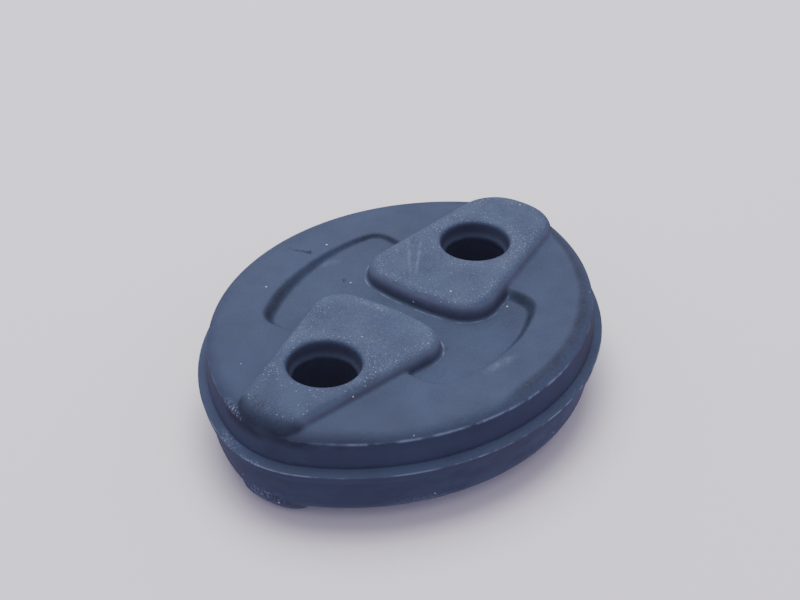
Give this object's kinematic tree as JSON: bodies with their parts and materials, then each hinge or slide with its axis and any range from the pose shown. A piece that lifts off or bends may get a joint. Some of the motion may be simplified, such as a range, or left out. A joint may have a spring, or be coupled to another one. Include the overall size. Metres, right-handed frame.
{
  "type": "exhaust hanger",
  "caption": "Oval moulded rubber hanger with raised wedge bosses, a shallow pocket between them and round through holes for hanger rods.",
  "frame": {"origin": "centre of the footprint, at the plane of the lower boss faces", "axes": "+X along the line of hole centres, +Y across the body, +Z along the holes, up to the face that the picture shows"},
  "size_m": [0.077, 0.0614, 0.018],
  "materials": {
    "rubber": "matte blue-black moulded rubber with a light dusty bloom"
  },
  "bodies": {
    "root": {"hanger_body": "rubber"}
  },
  "joints": []
}
